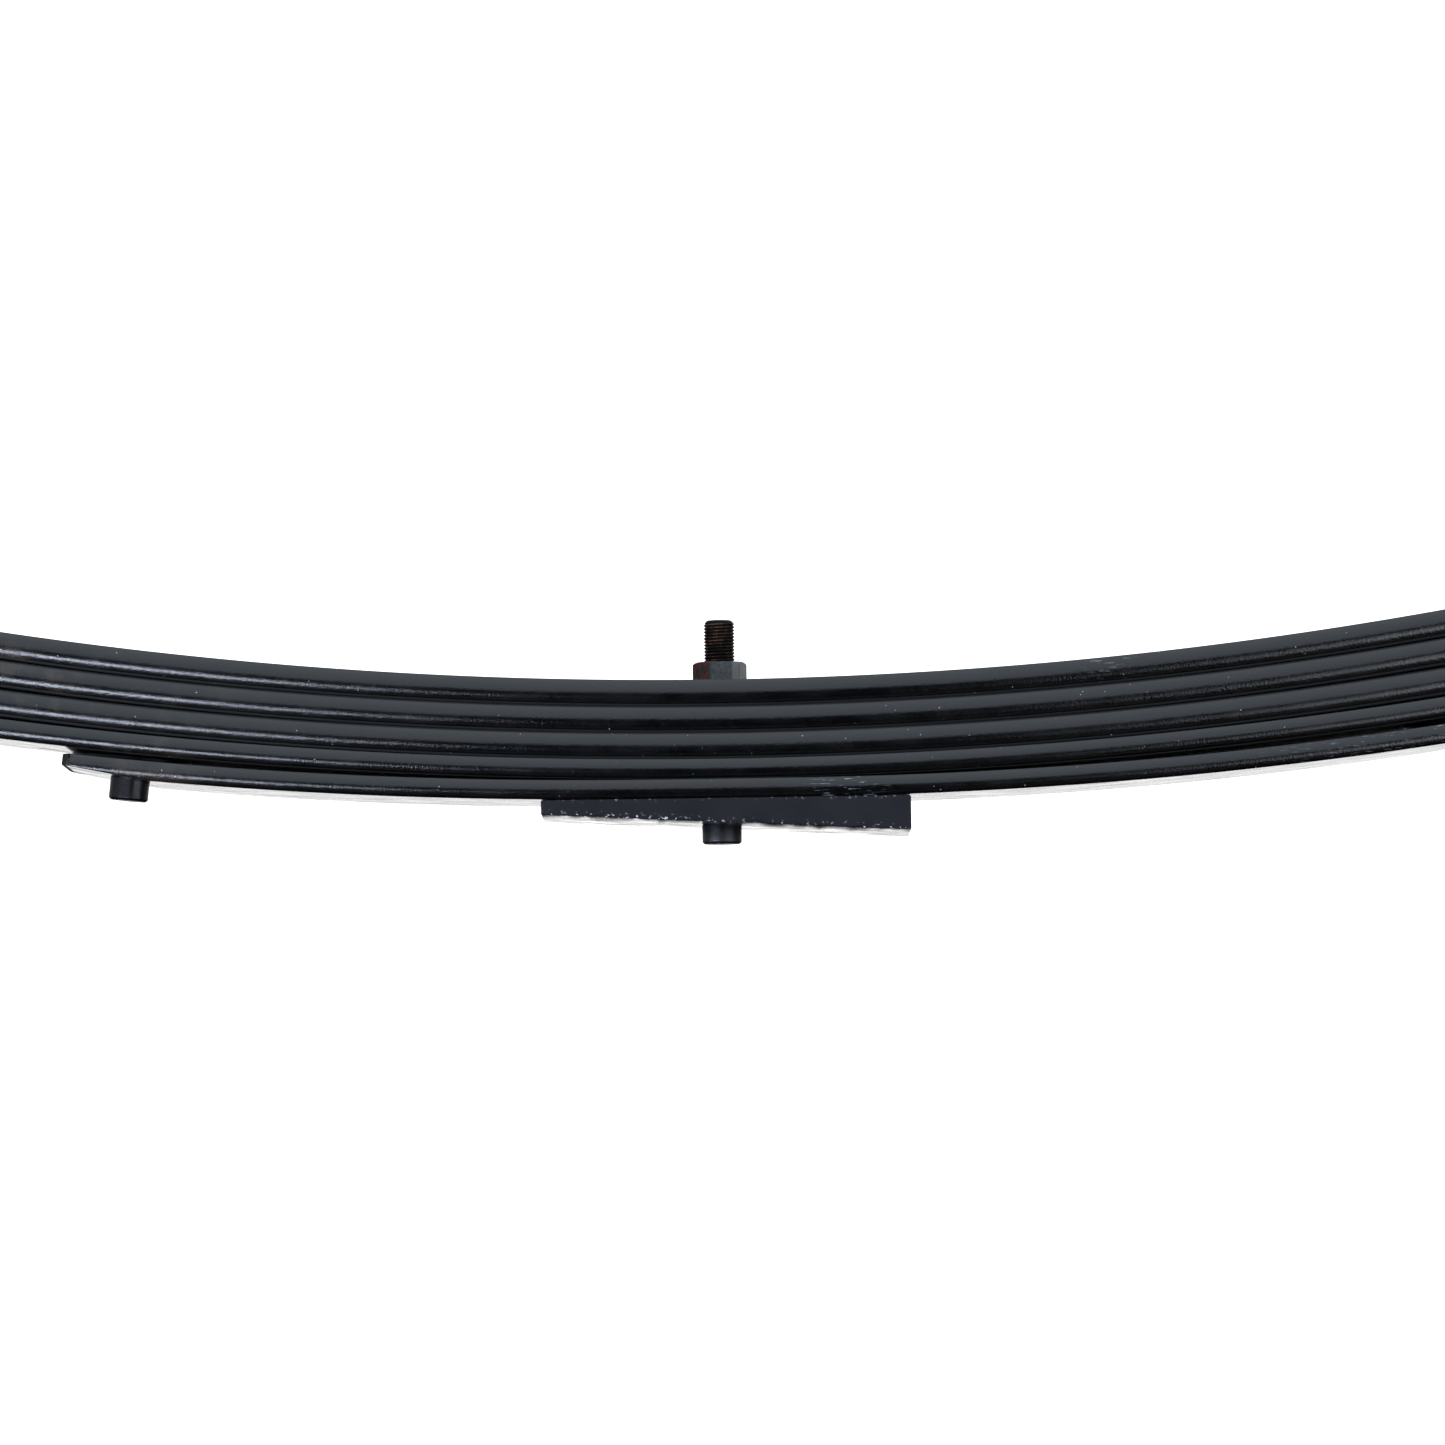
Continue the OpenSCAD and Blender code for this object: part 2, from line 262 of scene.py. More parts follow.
class Nodes:
    """Short calls that add nodes to a tree, linked or set to a value."""

    def __init__(self, tree):
        self.tree = tree

    def add(self, kind, **settings):
        made = self.tree.nodes.new(kind)
        for key, value in settings.items():
            setattr(made, key, value)
        return made

    def put(self, socket, value):
        if isinstance(value, bpy.types.NodeSocket):
            self.tree.links.new(value, socket)
        else:
            socket.default_value = value

    def ramp(self, value, low, high, out_low=0.0, out_high=1.0):
        made = self.add("ShaderNodeMapRange", interpolation_type="SMOOTHSTEP")
        for key, entry in (("Value", value), ("From Min", low), ("From Max", high),
                           ("To Min", out_low), ("To Max", out_high)):
            self.put(made.inputs[key], entry)
        return made.outputs["Result"]

    def math(self, operation, a, b=0.0):
        made = self.add("ShaderNodeMath", operation=operation)
        self.put(made.inputs[0], a)
        self.put(made.inputs[1], b)
        return made.outputs[0]

    def mix(self, share, a, b):
        made = self.add("ShaderNodeMix", data_type="RGBA")
        self.put(made.inputs["Factor"], share)
        self.put(made.inputs["A"], (*a, 1) if isinstance(a, tuple) else a)
        self.put(made.inputs["B"], (*b, 1) if isinstance(b, tuple) else b)
        return made.outputs["Result"]

    def split(self, vector):
        made = self.add("ShaderNodeSeparateXYZ")
        self.put(made.inputs[0], vector)
        return made.outputs


class Shader(Nodes):
    """A principled material built from procedural nodes in the object's own coordinates, in metres."""

    def __init__(self, name, roughness, metallic=0.0, **sockets):
        self.material = bpy.data.materials.new(name)
        self.material.use_nodes = True
        super().__init__(self.material.node_tree)
        self.bsdf = self.tree.nodes["Principled BSDF"]
        self.bsdf.inputs["Roughness"].default_value = roughness
        self.bsdf.inputs["Metallic"].default_value = metallic
        for key, value in sockets.items():
            self.bsdf.inputs[key.replace("_", " ")].default_value = value
        self.place = self.add("ShaderNodeTexCoord").outputs["Object"]

    def scaled(self, stretch):
        mapping = self.add("ShaderNodeMapping")
        self.put(mapping.inputs["Vector"], self.place)
        mapping.inputs["Scale"].default_value = stretch
        return mapping.outputs["Vector"]

    def noise(self, size_mm, detail=2.0, rough=0.5, stretch=(1, 1, 1)):
        made = self.add("ShaderNodeTexNoise")
        self.put(made.inputs["Vector"], self.scaled(stretch))
        made.inputs["Scale"].default_value = 1 / (size_mm * MM)
        made.inputs["Detail"].default_value = detail
        made.inputs["Roughness"].default_value = rough
        return made.outputs["Fac"]

    def cells(self, size_mm):
        made = self.add("ShaderNodeTexVoronoi")
        self.put(made.inputs["Vector"], self.place)
        made.inputs["Scale"].default_value = 1 / (size_mm * MM)
        return made.outputs["Distance"]

    def axis(self, name):
        return self.split(self.place)[name]

    def painted(self, attribute):
        """A mask kept on the mesh's points."""
        made = self.add("ShaderNodeAttribute", attribute_name=attribute)
        return made.outputs["Fac"]

    def bump(self, height, depth_mm, strength=1.0, under=None):
        made = self.add("ShaderNodeBump")
        self.put(made.inputs["Height"], height)
        made.inputs["Distance"].default_value = depth_mm * MM
        made.inputs["Strength"].default_value = strength
        if under is not None:
            self.put(made.inputs["Normal"], under)
        return made.outputs["Normal"]

    def finish(self, color, roughness=None, normal=None, metallic=None):
        if isinstance(color, tuple):
            color = (*color, 1)
        for key, value in (("Base Color", color), ("Roughness", roughness),
                           ("Normal", normal), ("Metallic", metallic)):
            if value is not None:
                self.put(self.bsdf.inputs[key], value)
        return self.material


def leaf_paint():
    """Satin black paint over rolled steel, with orange peel, dust, scuffs and a brown bloom in front."""
    s = Shader("leaf_paint", 0.2, IOR=1.43)
    forward = s.math("MULTIPLY", s.axis("X"), -1.0)
    peel = s.noise(1.2, detail=3, rough=0.6, stretch=(1.5, 1, 1))
    pitting = s.noise(9, detail=4, rough=0.6, stretch=(0.5, 1, 1))
    bloom = s.math("MULTIPLY", s.ramp(s.noise(24, detail=5, rough=0.65), 0.49, 0.69),
                   s.ramp(forward, 0.16, 0.26, 0.0, 0.8))
    black = s.mix(s.ramp(pitting, 0.35, 0.7), (0.0005, 0.0006, 0.0009), (0.0011, 0.0012, 0.0016))
    color = s.mix(bloom, black, (0.032, 0.022, 0.014))
    dust = s.ramp(s.cells(3.0), 0.11, 0.05)
    dust = s.math("MULTIPLY", dust, s.ramp(s.noise(5, detail=1), 0.58, 0.64))
    scratches = s.ramp(s.noise(0.45, detail=2, stretch=(0.08, 1, 1)), 0.62, 0.72)
    scuffed = s.math("MULTIPLY", scratches, s.painted("scuff"))
    color = s.mix(s.math("MULTIPLY", dust, 0.55), color, (0.40, 0.42, 0.44))
    color = s.mix(s.math("MULTIPLY", scuffed, 0.6), color, (0.30, 0.32, 0.35))
    worn = s.math("MULTIPLY", s.painted("wear"), s.ramp(s.noise(1.6, detail=4, rough=0.7), 0.55, 0.65))
    color = s.mix(s.math("MULTIPLY", worn, 0.5), color, (0.16, 0.15, 0.14))
    covered = s.painted("covered")
    color = s.mix(covered, color, (0.0006, 0.0006, 0.0007))
    rough = s.ramp(pitting, 0.3, 0.75, 0.16, 0.23)
    rough = s.math("ADD", rough, s.math("MULTIPLY", s.math("ADD", scuffed, bloom), 0.18))
    rough = s.math("MAXIMUM", rough, covered)
    normal = s.bump(peel, 0.085)
    normal = s.bump(pitting, 0.10, 0.8, normal)
    return s.finish(color, rough, normal)


def shim_paint():
    """Matt black paint, flecked where its edges are chipped, over a smoother lower face."""
    s = Shader("shim_paint", 0.5, IOR=1.25)
    grain = s.noise(0.9, detail=3, rough=0.6)
    cloud = s.noise(18, detail=3)
    color = s.mix(s.ramp(cloud, 0.3, 0.7), (0.0038, 0.0036, 0.0058), (0.0062, 0.0060, 0.0088))
    flecks = s.ramp(s.noise(1.3, detail=3, rough=0.6, stretch=(0.7, 1, 1)), 0.60, 0.64)
    flecks = s.math("MULTIPLY", flecks, s.painted("wear"))
    color = s.mix(flecks, color, (0.62, 0.62, 0.64))
    under = s.painted("under")
    rough = s.ramp(cloud, 0.3, 0.7, 0.48, 0.6)
    rough = s.math("SUBTRACT", rough, s.math("MULTIPLY", under, 0.36))
    height = s.math("MULTIPLY", grain, s.math("SUBTRACT", 1.0, under))
    return s.finish(color, rough, s.bump(height, 0.03))


def bolt_steel():
    """Black oxide steel: a satin head, and a stud whose thread crests have worn to brown."""
    s = Shader("bolt_steel", 0.36, IOR=1.45)
    stud = s.ramp(s.axis("Z"), STACK_TOP * MM, (STACK_TOP + 1) * MM)
    crest = s.math("MULTIPLY", s.painted("crest"), s.ramp(s.noise(4, detail=5, rough=0.7), 0.44, 0.62))
    color = s.mix(stud, (0.0045, 0.0055, 0.008), (0.010, 0.0085, 0.0078))
    color = s.mix(crest, color, (0.070, 0.038, 0.024))
    normal = s.bump(s.noise(0.6, detail=4, rough=0.7), 0.05)
    rough = s.ramp(s.noise(3, detail=4), 0.3, 0.7, 0.30, 0.46)
    rough = s.math("ADD", rough, s.math("MULTIPLY", stud, 0.16))
    return s.finish(color, rough, normal, stud)


def nut_steel():
    """Dull grey nut with painted shade darkening its left face, rust patches over that face and spotted
    beyond it, and painted light making its right face paler.
    """
    s = Shader("nut_steel", 0.45, metallic=0.6, IOR=1.5)
    # side masks the left face: it carries both the painted shade below and the real rust patches
    side = s.ramp(s.axis("X"), -3.0 * MM, -5.0 * MM)
    patches = s.ramp(s.noise(2.4, detail=5, rough=0.75), 0.44, 0.56)
    rust = s.math("MULTIPLY", patches, s.math("MAXIMUM", side, 0.08))
    grain = s.noise(1.0, detail=4, rough=0.65)
    color = s.mix(s.ramp(grain, 0.3, 0.7), (0.026, 0.028, 0.031), (0.062, 0.065, 0.070))
    # Painted shade: the left face is darkened towards near black
    color = s.mix(s.math("MULTIPLY", side, 0.85), color, (0.006, 0.005, 0.005))
    color = s.mix(rust, color, (0.075, 0.016, 0.009))
    # Painted light: the right face is made paler
    pale = s.ramp(s.axis("X"), 4.2 * MM, 5.4 * MM, 0.0, 0.55)
    color = s.mix(pale, color, (0.15, 0.15, 0.14))
    normal = s.bump(grain, 0.10)
    return s.finish(color, s.ramp(grain, 0.3, 0.7, 0.40, 0.55), normal)


def pad_nylon():
    """Black nylon, smooth from the mould with a faint turned grain."""
    s = Shader("pad_nylon", 0.28, IOR=1.3)
    grain = s.noise(2.2, detail=3)
    color = s.mix(s.ramp(grain, 0.3, 0.7), (0.0012, 0.0014, 0.0026), (0.0022, 0.0025, 0.004))
    normal = s.bump(s.noise(0.7, detail=2), 0.012)
    return s.finish(color, s.ramp(grain, 0.3, 0.7, 0.28, 0.36), normal)


def bush_rubber():
    """Matt black rubber with a fine dusty grain."""
    s = Shader("bush_rubber", 0.72, IOR=1.5)
    grain = s.noise(0.8, detail=4, rough=0.7)
    bloom = s.noise(14, detail=4)
    color = s.mix(s.ramp(bloom, 0.35, 0.7), (0.010, 0.010, 0.011), (0.020, 0.020, 0.021))
    return s.finish(color, s.ramp(bloom, 0.3, 0.7, 0.62, 0.8), s.bump(grain, 0.05))


def turned_zinc(name, color_a, color_b, rough_a, rough_b):
    """Zinc-plated steel with fine marks and slightly cloudy passivation."""
    s = Shader(name, rough_a, metallic=1.0)
    cloud = s.noise(7, detail=4, rough=0.6)
    marks = s.noise(0.35, detail=3, stretch=(1, 0.15, 1))
    color = s.mix(s.ramp(cloud, 0.3, 0.7), color_a, color_b)
    rough = s.ramp(marks, 0.3, 0.7, rough_a, rough_b)
    return s.finish(color, rough, s.bump(marks, 0.012))


def clip_paint():
    """The leaves' black paint on a smoother pressed strap, worn along its edges."""
    s = Shader("clip_paint", 0.34, IOR=1.5)
    peel = s.noise(1.6, detail=3)
    worn = s.math("MULTIPLY", s.painted("wear"), s.ramp(s.noise(2.2, detail=4, rough=0.7), 0.50, 0.60))
    color = s.mix(worn, (0.0022, 0.0024, 0.003), (0.10, 0.095, 0.09))
    return s.finish(color, s.ramp(peel, 0.3, 0.7, 0.28, 0.40), s.bump(peel, 0.05))


MATERIALS = {
    "leaf_paint": leaf_paint(),
    "shim_paint": shim_paint(),
    "bolt_steel": bolt_steel(),
    "nut_steel": nut_steel(),
    "pad_nylon": pad_nylon(),
    "bush_rubber": bush_rubber(),
    "sleeve_zinc": turned_zinc("sleeve_zinc", (0.50, 0.48, 0.43), (0.60, 0.59, 0.56), 0.28, 0.42),
    "clip_paint": clip_paint(),
    "clip_zinc": turned_zinc("clip_zinc", (0.36, 0.35, 0.33), (0.47, 0.46, 0.45), 0.32, 0.46),
}


def stand_for(node):
    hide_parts(node)


def whole_piece(node, finish, shape, slot, place=Matrix(), sharp=40):
    """An object that stands for one whole node, from verts and faces that are moved to their place."""
    verts, faces = shape
    obj = make_object(f"{node}_{finish}", placed(verts, place), faces, MATERIALS[slot], sharp)
    fix_normals(obj)
    stand_for(node)
    return obj


def paint_points(obj, attribute, weight):
    """Stores a mask on the mesh's points, from a function of the point in millimetres."""
    mask = obj.data.attributes.new(attribute, "FLOAT", "POINT")
    mask.data.foreach_set("value", [weight(v.co / MM) for v in obj.data.vertices])


# Leaves

BAR_EDGE = 0.45
BAR_CORNER = 26
SIDE_STEPS = 9
MASK_INSET = 1.6
MILL_WAVE = 16
MILL_DRAW_IN = 0.14
FLAT_STEPS = 5
STATION_STEP = 7
EYE_STEPS = 44
TIP_EDGE = 0.7
TIP_BACKS = (30, 25, 20, 15, 10, 6.5, TIP_BEVEL_X + 0.4, TIP_BEVEL_X - 0.2, 1.6, 0.7, 0.35, 0.12, 0.0)

# Masks: how far back a tip is worn, how far in from the sides the gaps' bare scale starts,
# and how near a point lies to a face that it is counted on
TIP_WEAR = 6
SCALE_INSET = 1.2
ON_FACE = 0.3

# Rub marks on the leaves' sides: (middle, half length) in distance to the rear
SEAT_RUB = (48, 16)
UPPER_RUB = (150, 12)
FAR_RUB_START = 195
FAR_RUB_FADE = 40


def bar_section(half_w, thick, bottom):
    """Loop of (across, up) points: flat faces, sides bulged to an arc, and small round corners."""
    side_r = SIDE_BULGE * thick
    points = []
    for k in range(SIDE_STEPS + 1):
        up = thick / 2 + (bottom - thick / 2) * k / SIDE_STEPS
        points.append((half_w - side_r + math.sqrt(side_r**2 - up**2), up))
    top_y, low_y = points[0][0] - MASK_INSET, points[-1][0] - MASK_INSET
    points = [(top_y, thick / 2)] + points + [(low_y, bottom)]
    mirrored = [(-y, up) for y, up in reversed(points)]
    return rounded(points + mirrored, BAR_EDGE, limit=BAR_CORNER)


def bent_ring(i, side, centre, slope, half_w, bottom):
    """One ring of a leaf, square to its middle line, with the mill's slight unevenness."""
    sign = SIDES[side]
    up = Vector((-sign * math.sin(slope), 0, math.cos(slope)))
    ring = []
    for y, n in bar_section(half_w, THICK[i], bottom):
        spot = centre + up * n + Vector((0, y, 0))
        inward = 0.5 + 0.5 * wander(spot, MILL_WAVE, i + 1)
        y -= math.copysign(MILL_DRAW_IN * inward, y)
        ring.append(centre + up * n + Vector((0, y, 0)))
    return ring


def leaf_stations(i, side):
    """(middle point, slope, half width, lower face) along a leaf, from the centre bolt outwards."""
    sign = SIDES[side]
    mid_r = TOP_R[i] + THICK[i] / 2
    end = math.asin(eye_x(side) / EYE_TURN_R) if i == 0 else tip_angle(i, side)
    half, bottom = LEAF_W / 2, -THICK[i] / 2
    stations = []

    def on_arc(slope):
        x = flat(i) + mid_r * math.sin(slope)
        return Vector((sign * x, 0, arc_centre_z(i) - mid_r * math.cos(slope)))

    if flat(i):
        for k in range(FLAT_STEPS):
            x = flat(i) * k / FLAT_STEPS
            stations.append((Vector((sign * x, 0, LOW[i] + THICK[i] / 2)), 0.0, half, bottom))
    taper_start = end if i == 0 else end - TIP_TAPER / mid_r
    count = round(taper_start * mid_r / STATION_STEP)
    for k in range(count + 1):
        slope = taper_start * k / count
        stations.append((on_arc(slope), slope, half, bottom))
    if i == 0:
        return stations + eye_stations(side, end, half, bottom)
    for back in TIP_BACKS:
        slope = end - back / mid_r
        lift = TIP_THINNING * THICK[i] * (1 - back / TIP_TAPER)
        narrow = TIP_BEVEL_Y * max(0.0, 1 - back / TIP_BEVEL_X)
        soft = tip_inset(back)
        stations.append((on_arc(slope), slope, half - narrow - soft, bottom + lift + soft))
    return stations


def tip_inset(back):
    """How far a rounded end edge has drawn in, at a distance back from the end."""
    if back >= TIP_EDGE:
        return 0.0
    return TIP_EDGE - math.sqrt(TIP_EDGE**2 - (TIP_EDGE - back) ** 2)


def eye_stations(side, start, half, bottom):
    """The eye's roll, which carries on from the main leaf's arc."""
    sign = SIDES[side]
    across, up = EYE_TURN_R * math.sin(start), arc_centre_z(0) - EYE_TURN_R * math.cos(start)
    centre = Vector((sign * across, 0, up))
    roll_r = EYE_R + THICK[0] / 2
    stations = []
    for k in range(1, EYE_STEPS + 1):
        slope = start + EYE_WRAP * k / EYE_STEPS
        out = Vector((-sign * math.sin(slope), 0, math.cos(slope)))
        stations.append((centre - out * roll_r, slope, half, bottom))
    return stations


def leaf_piece(i, side, reach, stations):
    """One leaf's stretch that lies in one bending zone."""
    rings = [bent_ring(i, side, *station) for station in stations]
    name = f"{LEAVES[i]}_{side}_{reach}"
    obj = fix_normals(make_object(name, *skin(rings), MATERIALS["leaf_paint"]))
    end_x = stations[-1][0].x
    end_slope = stations[-1][1]
    is_tip = i > 0 and abs(end_x) > TIP_X[side][i] - 5

    def wear(point):
        return max(0.0, 1 - abs(point.x - end_x) / TIP_WEAR) if is_tip else 0.0

    def covered(point):
        """Faces inside the gaps, and the cut end of a tip, keep their bare rough scale."""
        x = abs(point.x)
        inset = LEAF_W / 2 - abs(point.y)
        between = inset > SCALE_INSET
        over = i > 0 and between and abs(point.z - top_z(i, x)) < ON_FACE
        under = i < 4 and between and x < TIP_X[side][i + 1] and abs(point.z - low_z(i, x)) < ON_FACE
        back = (abs(end_x) - x) / math.cos(end_slope)
        cut = is_tip and back < TIP_BEVEL_X * (inset + TIP_WEAR) / (TIP_BEVEL_Y + TIP_WEAR)
        return 1.0 if over or under or cut else 0.0

    def scuff(point):
        """Rub marks on the bottom leaf, by the shim and towards its rear tip, and on the main leaf."""
        if i not in (0, 4):
            return 0.0
        middle, half_length = SEAT_RUB if i == 4 else UPPER_RUB
        rub = max(0.0, 1 - ((point.x - middle) / half_length) ** 2)
        if i == 0:
            return 0.6 * rub
        return max(rub, 0.5 * min(1.0, max(0.0, (point.x - FAR_RUB_START) / FAR_RUB_FADE)))

    paint_points(obj, "wear", wear)
    paint_points(obj, "scuff", scuff)
    paint_points(obj, "covered", covered)
    return obj


def bend_in_zone(obj):
    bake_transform(obj)


def build_leaf(i, side):
    stations = leaf_stations(i, side)
    cuts = [0.0] + ZONES[side][1:3] + [1e9]
    for reach, inner, outer in zip(REACHES, cuts, cuts[1:]):
        held = split_stations(stations, inner, outer)
        if held:
            obj = leaf_piece(i, side, reach, held)
            stand_for(LEAVES[i])
            bend_in_zone(obj)


def split_stations(stations, inner, outer):
    """The stations between two distances out, with one more made exactly at each cut."""
    held = []
    passed = False
    for a, b in zip(stations, stations[1:]):
        xa, xb = abs(a[0].x), abs(b[0].x)
        if not passed and xa >= inner and xa < outer:
            held.append(a)
        for cut in (inner, outer):
            if not passed and xa < cut < xb:
                u = (cut - xa) / (xb - xa)
                held.append(tuple(p + (q - p) * u for p, q in zip(a, b)))
                passed = cut == outer
    if not passed and held:
        held.append(stations[-1])
    return held


# Centre bolt, nut and shim

THREAD_PITCH = 1.25
THREAD_DEPTH = 0.52
THREAD_ROWS = 10
THREAD_START = 6
STUD_CHAMFER = 1.3
RIM_STEPS = 8
BOLT_TURNS = 72
NUT_AF = 18.8
NUT_BORE = 5.97
NUT_TURN = math.radians(-15.7 - 90)
HEX_TURNS = 144
HEX_EASE = 0.15
HEX_FACE_INSET = 0.35
HEX_CORNER_CUT = 0.1575
BORE_CHAMFER = 0.5
SHIM_EDGE = 0.5
SHIM_CORNER = 0.45
SHIM_STEPS = 90

# The shim's lower edge is most chipped beyond these two distances
SHIM_WORN = (-15, 45)
SHIM_LOW_WEAR = 2.0
SHIM_TOP_WEAR = 0.9

# Chips along the shim's lower edges, as (size, seed, least height that shows)
CHIPS = ((2.6, 3, 0.12), (7, 5, 0.2))


def thread_dip(turn, z):
    """How deep the thread is cut at a height, from 0 on a crest to 1 in a root."""
    phase = (z / THREAD_PITCH - turn / (2 * math.pi)) % 1
    return min(1.0, max(0.0, 1.4 * (1 - abs(2 * phase - 1)) - 0.24))


def threaded_rows(start, end, radius, chamfer):
    """(height, radius function) rows of a stud with a rolled thread and a chamfered end."""
    rows = []
    count = round((end - start) / (THREAD_PITCH / THREAD_ROWS))
    for k in range(count + 1):
        z = start + (end - start) * k / count
        limit = radius - max(0.0, chamfer - (end - z)) * 0.9
        runout = min(1.0, (z - start) / THREAD_PITCH)

        def reach(turn, z=z, limit=limit, runout=runout):
            return min(limit, radius - THREAD_DEPTH * runout * thread_dip(turn, z))

        rows.append((z, reach))
    return rows


def surface_of_rows(rows, turns):
    """A closed solid about Z from rows whose radius may change with the turn."""
    rings = []
    for z, reach in rows:
        ring = []
        for k in range(turns):
            turn = 2 * math.pi * k / turns
            r = reach(turn) if callable(reach) else reach
            ring.append((r * math.cos(turn), r * math.sin(turn), z))
        rings.append(ring)
    return skin(rings)


def centre_bolt():
    low, high = box_mm("centre_bolt")
    shoulder = MOUNTS["centre_bolt_head"]["pos_m"][2] / MM
    rows = [(low.z + 0.07, 0.3), (low.z + 0.08, HEAD_R * 0.5)]
    for k in range(RIM_STEPS + 1):
        a = math.pi / 2 * k / RIM_STEPS
        z = low.z + HEAD_RIM * (1 - math.cos(a)) + 0.1 * (1 - k / RIM_STEPS)
        rows.append((z, HEAD_R - HEAD_RIM * (1 - math.sin(a))))
    rows += [(shoulder - 0.4, HEAD_R), (shoulder - 0.1, HEAD_R - 0.2), (shoulder, HEAD_R - 0.5)]
    rows += [(shoulder, SHANK_R + 0.1), (shoulder + 0.3, SHANK_R)]
    stud_start = STACK_TOP + THREAD_START
    rows += [(stud_start - 0.5, SHANK_R)]
    rows += threaded_rows(stud_start, high.z - 0.25, SHANK_R, STUD_CHAMFER)
    rows += [(high.z - 0.12, SHANK_R - 1.6), (high.z - 0.02, 2.0), (high.z, 0.3)]
    obj = whole_piece("centre_bolt", "turned", surface_of_rows(rows, BOLT_TURNS), "bolt_steel", sharp=50)

    def crest(point):
        reach = math.hypot(point.x, point.y)
        return min(1.0, max(0.0, (reach - SHANK_R + 0.35) / 0.3)) if point.z > stud_start else 0.0

    paint_points(obj, "crest", crest)
    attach(obj, "root")


def hex_reach(af, turn):
    """Radius of a hexagon with slightly rounded corners, a corner lying at turn 0."""
    off = (turn + math.pi / 6) % (math.pi / 3) - math.pi / 6
    flat_reach = af / 2 / math.cos(math.pi / 6 - abs(off))
    corner = af / math.sqrt(3) - HEX_CORNER_CUT
    return min(flat_reach, corner)


def hex_body(af, height, bore):
    """A hexagon with its corners chamfered above and, if it is a nut, a bore through it."""
    chamfer = math.tan(math.radians(30))
    face_r = af / 2 - HEX_FACE_INSET
    rings = []

    def ring(radius_of, z_of):
        rings.append([(radius_of(t) * math.cos(t), radius_of(t) * math.sin(t), z_of(t))
                      for t in (2 * math.pi * k / HEX_TURNS for k in range(HEX_TURNS))])

    def outer(t):
        return hex_reach(af, t)

    def drop(t):
        return chamfer * max(0.0, outer(t) - face_r)

    ring(lambda t: outer(t) - HEX_EASE, lambda t: 0.0)
    ring(outer, lambda t: HEX_EASE)
    for share in (0.25, 0.5, 0.75):
        ring(outer, lambda t, share=share: height * share)
    ring(outer, lambda t: height - drop(t) - 0.06)
    ring(lambda t: outer(t) - 0.12, lambda t: height - drop(t) + 0.02)
    ring(lambda t: face_r, lambda t: height)
    ring(lambda t: face_r - 0.4, lambda t: height)
    if bore:
        ring(lambda t: bore + BORE_CHAMFER, lambda t: height)
        ring(lambda t: bore, lambda t: height - BORE_CHAMFER)
        ring(lambda t: bore, lambda t: BORE_CHAMFER)
        ring(lambda t: bore + BORE_CHAMFER, lambda t: 0.0)
        rings.append(rings[0])
        return skin(rings, close_ends=False)
    return skin(rings)


def centre_nut():
    low, high = box_mm("centre_nut")
    place = Matrix.Translation((0, 0, low.z)) @ Matrix.Rotation(NUT_TURN, 4, "Z")
    shape = hex_body(NUT_AF, high.z - low.z, NUT_BORE)
    obj = whole_piece("centre_nut", "turned", shape, "nut_steel", place, sharp=24)
    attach(obj, "root")


def degree_shim():
    """The tapered plate, with soft edges that are chipped below."""
    low, high = box_mm("degree_shim")
    top = LOW[4] - 0.05
    seat_normal = MOUNTS["axle_seat"]["axis"]
    fall = seat_normal[0] / seat_normal[2]
    length = high.x - low.x
    edge = SHIM_EDGE
    stops = [0.0, 0.1, 0.25, edge]
    stops += [edge + (length - 2 * edge) * k / SHIM_STEPS for k in range(1, SHIM_STEPS)]
    stops += [length - edge, length - 0.25, length - 0.1, length]
    rings = []
    for stop in stops:
        x = low.x + stop
        soft = edge - math.sqrt(edge**2 - max(0.0, edge - min(stop, length - stop)) ** 2)
        bottom = -fall * x
        half = LEAF_W / 2 - soft
        right = [(half, z) for z in (top - soft, top - 1.4, bottom + 2.6, bottom + 1.3, bottom + soft)]
        corners = right + [(-y, z) for y, z in reversed(right)]
        ring = []
        for y, z in rounded(corners, SHIM_CORNER):
            chip = sum(max(0.0, wander((x, y, 0), size, seed) - least) for size, seed, least in CHIPS)
            if z < bottom + 0.6:
                z += 0.5 * chip
                y -= math.copysign(0.3 * chip, y)
            ring.append((x, y, z))
        rings.append(ring)
    obj = whole_piece("degree_shim", "painted", skin(rings), "shim_paint", sharp=32)

    def wear(point):
        if abs(point.y) < LEAF_W / 2 - 1:
            return 0.25
        above = point.z + fall * point.x
        worn = 0.5 if SHIM_WORN[0] <= point.x <= SHIM_WORN[1] else 1.0
        low_edge = max(0.0, 1 - max(0.0, above) / SHIM_LOW_WEAR)
        top_edge = max(0.0, 1 - (top - point.z) / SHIM_TOP_WEAR)
        return max(worn * low_edge, 0.3 * top_edge)

    def under(point):
        return 1.0 if abs(point.y) < LEAF_W / 2 - 0.2 and point.z + fall * point.x < 0.9 else 0.0

    paint_points(obj, "wear", wear)
    paint_points(obj, "under", under)
    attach(obj, "root")


# Tip pads

PAD_EDGE = 0.5
PAD_TURNS = 80


def tip_pad(i, side):
    """A nylon disc between two leaves, and its button through the lower leaf."""
    node = f"{LEAVES[i]}_{side}_pad"
    x = TIP_X[side][i] - PAD_INSET
    slope = slope_at(i, x, TOP_R[i])
    gap, slope_over = space_above(i, x)
    lift = PAD_R**2 / (2 * TOP_R[i]) + SNUG
    disc_top = gap - SNUG - PAD_R * math.tan(abs(slope_over - slope))
    foot = -THICK[i] - BUTTON_DROP
    outline = [(0.3, foot + 0.05), (BUTTON_R - 0.9, foot + 0.12), (BUTTON_R, foot + 0.95), (BUTTON_R, lift),
               (PAD_R, lift), (PAD_R, disc_top), (0.3, disc_top)]
    shape = lathe(rounded(outline, PAD_EDGE, steps=4, closed=False), PAD_TURNS)
    obj = whole_piece(node, "moulded", shape, "pad_nylon", set_on_leaf(x, top_z(i, x), slope, side))
    bend_in_zone(obj)


# Eyes

